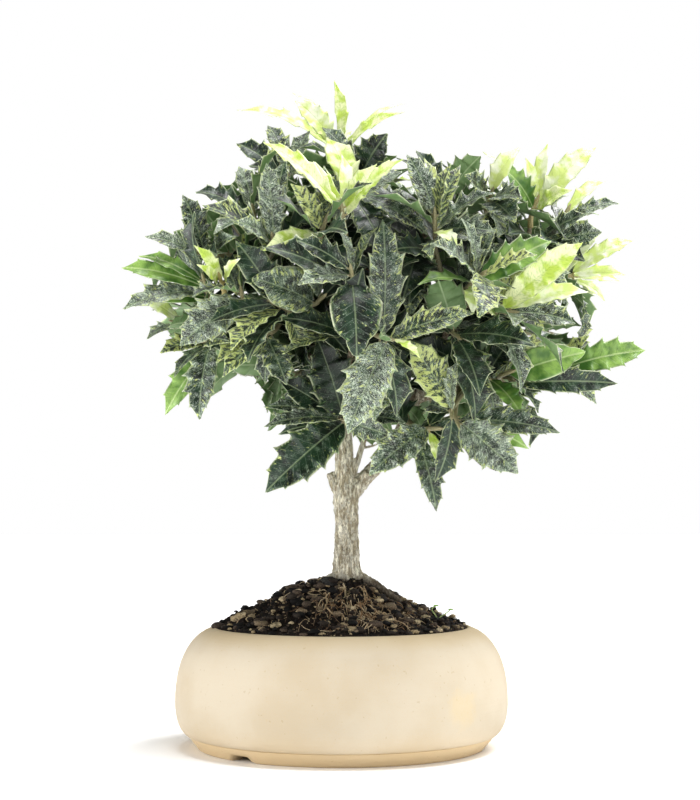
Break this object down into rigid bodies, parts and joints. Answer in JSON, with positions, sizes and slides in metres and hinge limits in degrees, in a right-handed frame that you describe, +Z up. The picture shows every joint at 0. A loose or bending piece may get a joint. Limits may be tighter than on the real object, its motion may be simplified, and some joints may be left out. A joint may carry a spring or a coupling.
{
  "type": "bonsai plant in a pot",
  "caption": "Variegated holly-leaved osmanthus grown as a small tree, with a bare trunk and a rounded leafy crown, heaped soil and a low round unglazed pot.",
  "frame": {"origin": "on the pot's axis at ground level, where the foot ring stands", "axes": "+Z up along the pot's axis, -Y towards the front that the picture shows, +X to the right as seen from the front"},
  "size_m": [0.3114, 0.235, 0.404],
  "materials": {
    "pot_clay": "matte",
    "drain_net": "matte",
    "potting_soil": "matte",
    "bark": "matte",
    "foliage": "satin",
    "young_foliage": "satin"
  },
  "bodies": {
    "root": {"pot": "pot_clay", "drain_mesh_left": "drain_net", "drain_mesh_right": "drain_net", "soil": "potting_soil", "wood": "bark", "spray_heart": "foliage", "spray_centre_right": "foliage", "spray_centre_left": "foliage", "spray_rosette_low": "foliage", "spray_low_hanging": "foliage", "spray_low_pendant": "foliage", "spray_low_middle": "foliage", "spray_low_right": "foliage", "spray_junction": "foliage", "spray_lance": "foliage", "spray_fresh_green": "foliage", "spray_far_low": "foliage", "spray_right_middle": "foliage", "spray_bright": "foliage", "spray_underside": "foliage", "spray_right_shoulder": "foliage", "spray_right_top": "young_foliage", "spray_right_grey_tip": "foliage", "spray_right_pale": "young_foliage", "spray_crown_arch": "foliage", "spray_crown_front": "young_foliage", "spray_crown_back": "young_foliage", "spray_crown_middle": "foliage", "spray_crown_right": "foliage", "spray_crown_right_back": "foliage", "spray_right_upper": "foliage", "spray_cream": "foliage", "spray_inner_right": "foliage", "spray_left_broad": "foliage", "spray_left_blue": "foliage", "spray_left_skirt": "foliage", "spray_left_middle": "foliage", "spray_left_low": "foliage", "spray_left_out": "foliage", "spray_left_far": "foliage", "spray_left_upright": "foliage", "spray_left_yellow": "young_foliage", "spray_left_top": "foliage", "spray_crown_left": "foliage", "spray_crown_left_back": "foliage", "spray_back_01": "foliage", "spray_back_02": "foliage", "spray_back_03": "foliage", "spray_back_04": "foliage", "spray_back_05": "foliage", "spray_back_06": "foliage", "spray_back_07": "foliage", "spray_back_08": "foliage", "spray_back_09": "foliage", "spray_back_10": "foliage", "spray_back_11": "foliage", "spray_back_12": "foliage", "spray_back_13": "foliage", "spray_back_14": "foliage", "spray_back_15": "foliage"}
  },
  "joints": []
}
